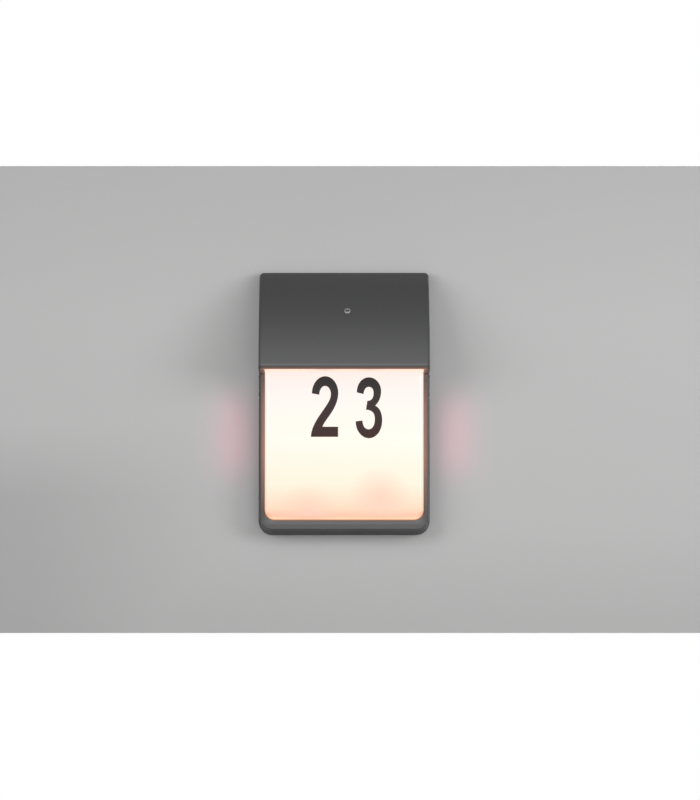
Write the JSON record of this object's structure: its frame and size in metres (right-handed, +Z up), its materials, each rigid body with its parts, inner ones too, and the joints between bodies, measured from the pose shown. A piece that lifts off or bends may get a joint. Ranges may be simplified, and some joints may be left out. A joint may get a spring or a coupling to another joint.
{
  "type": "outdoor wall light",
  "caption": "Wall light with a lit opal number panel under a deep bowed hood, a dusk sensor in the hood and a wiring chamber behind; pulls straight off its slotted wall bracket.",
  "frame": {"origin": "middle of the wall bracket's screw slots, in the plane of the wall", "axes": "+Z up; the light stands out from the wall along -Y; +X to the viewer's right"},
  "size_m": [0.18, 0.0856, 0.276],
  "materials": {
    "anthracite_cast": "cast aluminium with a fine-textured anthracite powder coat",
    "opal": "opal polycarbonate, smooth satin",
    "zinc_steel": "zinc-plated steel",
    "foam": "closed-cell foam strip",
    "silicone": "grey silicone",
    "black_rubber": "moulded rubber",
    "white_plastic": "white moulded plastic",
    "board_white": "white solder mask on an aluminium core",
    "phosphor": "yellow phosphor under clear silicone",
    "terminal_plastic": "natural polyamide",
    "brass": "plain brass",
    "lead_brown": "insulated lead",
    "lead_green_yellow": "insulated earth lead",
    "lead_red": "insulated lead",
    "lead_blue": "insulated lead",
    "clear_window": "clear polycarbonate window",
    "black_plastic": "black moulded plastic",
    "board_green": "green circuit board",
    "photocell": "clear-coated photoresistor"
  },
  "bodies": {
    "wall_bracket": {"wall_bracket": "zinc_steel", "locking_screws": "zinc_steel"},
    "luminaire": {"wall_gasket": "foam", "base_housing": "anthracite_cast", "hood": "anthracite_cast", "hood_seal": "silicone", "hood_screws": "zinc_steel", "diffuser": "opal", "diffuser_seal": "silicone", "shelf_seal": "silicone", "diffuser_screws": "zinc_steel", "reflector": "white_plastic", "led_board": "board_white", "led_chips": "phosphor", "led_connector": "white_plastic", "led_board_screws": "zinc_steel", "led_driver": "white_plastic", "driver_screws": "zinc_steel", "terminal_block": "terminal_plastic", "terminal_screws": "zinc_steel", "terminal_block_screws": "zinc_steel", "earth_screw": "brass", "lead_grommet": "black_rubber", "mains_leads": "lead_brown", "earth_wire": "lead_green_yellow", "led_leads": "lead_red", "sensor_leads": "lead_blue", "sensor_window": "clear_window", "sensor_holder": "black_plastic", "sensor_board": "board_green", "photocell": "photocell", "sensor_screws": "zinc_steel"}
  },
  "joints": [
    {"name": "lift_off", "type": "slide", "parent": "wall_bracket", "child": "luminaire", "axis": [0, -1, 0], "range_m": [0, 0.06]}
  ]
}
